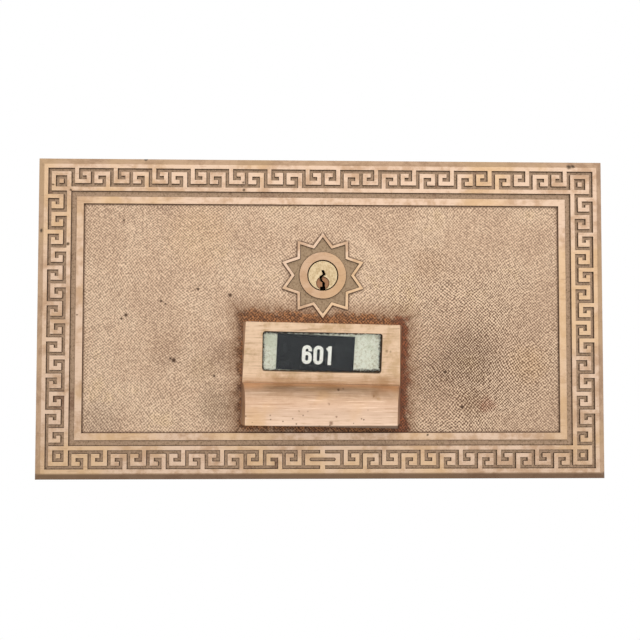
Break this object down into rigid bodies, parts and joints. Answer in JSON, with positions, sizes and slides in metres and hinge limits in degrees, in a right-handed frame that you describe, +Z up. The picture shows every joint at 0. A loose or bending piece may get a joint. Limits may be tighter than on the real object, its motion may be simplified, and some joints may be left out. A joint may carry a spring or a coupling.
{
  "type": "post office box door",
  "caption": "Cast brass post office box door with a Greek key border, star lock boss and numbered finger pull, hinged on a hidden rear frame with a sliding bolt.",
  "frame": {"origin": "centre of the rear frame's mounting face, at the middle of its four screw holes", "axes": "+X right and +Z up as the door is seen from the front; the front faces -Y and the mounting face +Y"},
  "size_m": [0.2762, 0.0448, 0.1556],
  "materials": {
    "cast_brass": "cast and polished, aged, with brown patina in the sunk areas",
    "pull_brass": "brushed, aged and pitted",
    "plug_brass": "turned, yellower and cleaner than the door",
    "frame_brass": "cast, dull",
    "lock_brass": "milled",
    "retainer_brass": "pressed, satin",
    "bolt_brass": "drawn, worn bright",
    "pin_brass": "turned",
    "screw_brass": "turned",
    "pin_steel": "drawn wire",
    "window_glass": "clear, aged",
    "number_card": "matt black paper label",
    "backing_card": "aged greenish paper card"
  },
  "bodies": {
    "frame": {"rear_frame": "frame_brass", "hinge_pins": "pin_steel"},
    "door": {"door_casting": "cast_brass", "pull": "pull_brass", "pull_screws": "screw_brass", "window_glass": "window_glass", "number_card": "number_card", "backing_card": "backing_card", "card_retainer": "retainer_brass", "retainer_screws": "screw_brass", "lock_case": "lock_brass", "case_cover": "lock_brass", "case_screws": "screw_brass", "cover_screws": "screw_brass", "cylinder_shell": "lock_brass", "chamber_cap": "lock_brass", "driver_pins": "pin_brass", "bolt_guide": "retainer_brass", "guide_screws": "screw_brass"},
    "plug": {"key_plug": "plug_brass", "key_pins": "pin_brass", "cam": "lock_brass", "cam_screw": "screw_brass"},
    "bolt": {"latch_bolt": "bolt_brass"}
  },
  "joints": [
    {"name": "door_swing", "type": "hinge", "parent": "frame", "child": "door", "pos_m": [-0.1321, -0.0205, 0], "axis": [0, 0, -1], "range_deg": [0, 100]},
    {"name": "plug_turn", "type": "hinge", "parent": "door", "child": "plug", "pos_m": [0, -0.0185, 0.0209], "axis": [0, 1, 0], "range_deg": [0, 90]},
    {"name": "bolt_slide", "type": "slide", "parent": "door", "child": "bolt", "axis": [1, 0, 0], "range_m": [0, 0.008]}
  ],
  "couplings": [
    {"joint": "plug_turn", "follows": "bolt_slide", "rad_per_m": 196.3}
  ]
}
